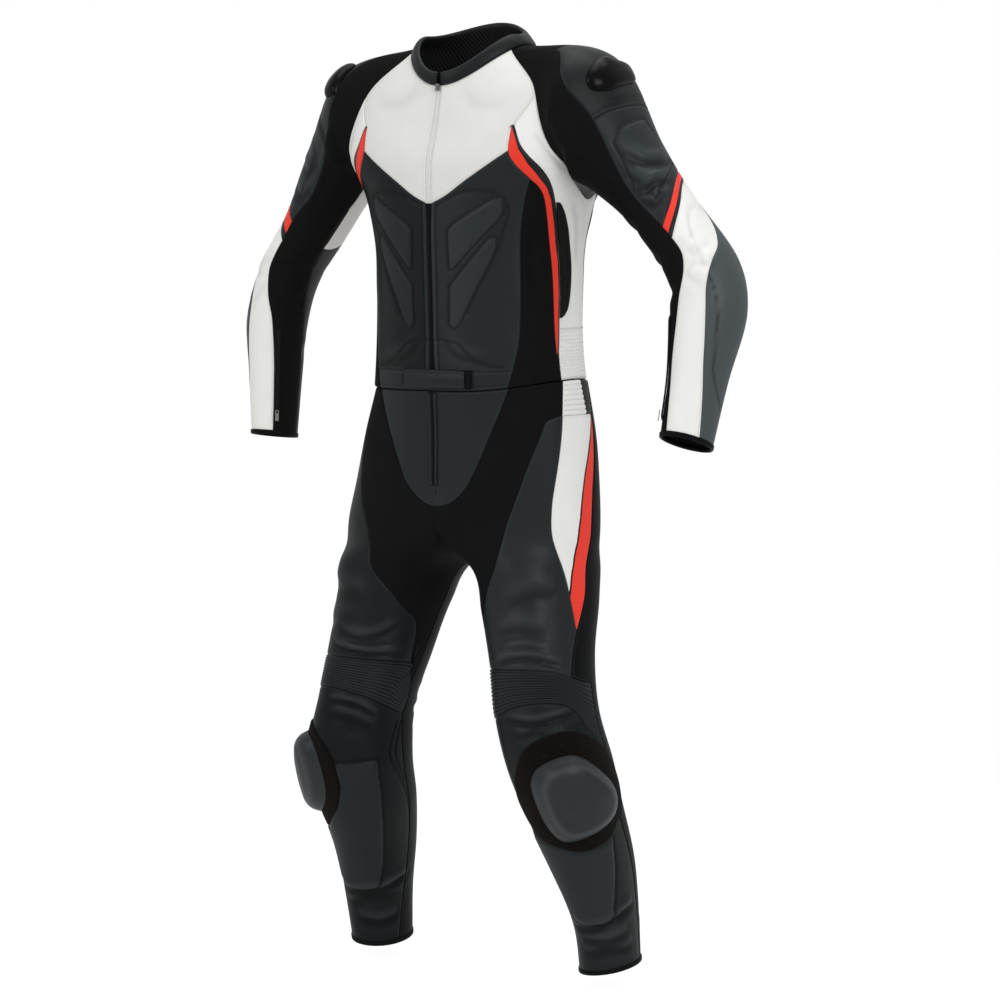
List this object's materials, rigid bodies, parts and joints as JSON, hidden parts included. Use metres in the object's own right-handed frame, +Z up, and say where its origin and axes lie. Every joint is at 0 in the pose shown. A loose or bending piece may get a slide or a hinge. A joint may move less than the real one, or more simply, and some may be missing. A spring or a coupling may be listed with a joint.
{
  "type": "two-piece leather motorcycle race suit, filled out as worn",
  "caption": "Two-piece leather motorcycle riding suit in its worn pose: zipped jacket with stand collar, trousers with knee sliders, hollow and open at neck, cuffs and ankles.",
  "frame": {"origin": "middle of the wearer's shoulders, on the centre plane, 1.40 m above the height of the trouser hems' base line", "axes": "+Z up, the front of the suit faces -Y, the wearer's left is +X"},
  "size_m": [0.9061, 0.3072, 1.4594],
  "materials": {
    "leather_white": "smooth semi-gloss full-grain leather",
    "leather_charcoal": "smooth semi-gloss full-grain leather",
    "leather_black": "smooth semi-gloss full-grain leather",
    "leather_red": "fluorescent finish leather",
    "stretch_black": "matt woven stretch fabric",
    "loop_brown": "matt hook-and-loop fabric",
    "slider_plastic": "satin moulded plastic",
    "zip_metal": "polished"
  },
  "bodies": {
    "suit": {"arm_pad_left": "leather_charcoal", "arm_pad_right": "leather_charcoal", "arm_stripe_left": "leather_red", "arm_stripe_right": "leather_red", "back_lower": "leather_black", "back_upper": "leather_charcoal", "belly_left": "leather_charcoal", "belly_right": "leather_charcoal", "chest_left": "leather_white", "chest_right": "leather_white", "chest_stripe_left": "leather_red", "chest_stripe_right": "leather_red", "collar": "leather_black", "cuff_zip_left": "stretch_black", "cuff_zip_right": "stretch_black", "fly": "leather_charcoal", "fly_zip": "stretch_black", "forearm_front_left": "leather_white", "forearm_front_right": "leather_white", "forearm_outer_left": "leather_charcoal", "forearm_outer_right": "leather_charcoal", "front_zip": "stretch_black", "hem_band": "leather_charcoal", "knee_pad_left": "loop_brown", "knee_pad_right": "loop_brown", "knee_rib_left": "leather_charcoal", "knee_rib_right": "leather_charcoal", "knee_slider_left": "slider_plastic", "knee_slider_right": "slider_plastic", "leg_back_left": "leather_black", "leg_back_right": "leather_black", "leg_stretch_left": "stretch_black", "leg_stretch_right": "stretch_black", "pocket_left": "stretch_black", "pocket_right": "stretch_black", "shin_left": "leather_charcoal", "shin_right": "leather_charcoal", "shoulder_cap_left": "leather_charcoal", "shoulder_cap_right": "leather_charcoal", "shoulder_cup_left": "slider_plastic", "shoulder_cup_right": "slider_plastic", "side_panel_left": "leather_white", "side_panel_right": "leather_white", "sleeve_back_left": "leather_black", "sleeve_back_right": "leather_black", "sleeve_stretch_left": "stretch_black", "sleeve_stretch_right": "stretch_black", "stretch_side_left": "stretch_black", "stretch_side_right": "stretch_black", "thigh_outer_left": "leather_charcoal", "thigh_outer_right": "leather_charcoal", "thigh_stripe_left": "leather_red", "thigh_stripe_right": "leather_red", "waist_rib_left": "leather_white", "waist_rib_right": "leather_white", "waist_tab": "leather_charcoal", "zip_slider": "zip_metal"},
    "pull_left": {"cuff_pull_left": "zip_metal"},
    "pull_right": {"cuff_pull_right": "zip_metal"}
  },
  "joints": [
    {"name": "cuff_pull_left_hinge", "type": "hinge", "parent": "suit", "child": "pull_left", "pos_m": [0.37802, -0.07089, -0.49923], "axis": [-0.6167, 0.7616, -0.1992], "range_deg": [0, 150]},
    {"name": "cuff_pull_right_hinge", "type": "hinge", "parent": "suit", "child": "pull_right", "pos_m": [-0.35142, -0.07026, -0.52423], "axis": [-0.6772, -0.7352, 0.0306], "range_deg": [0, 150]}
  ]
}
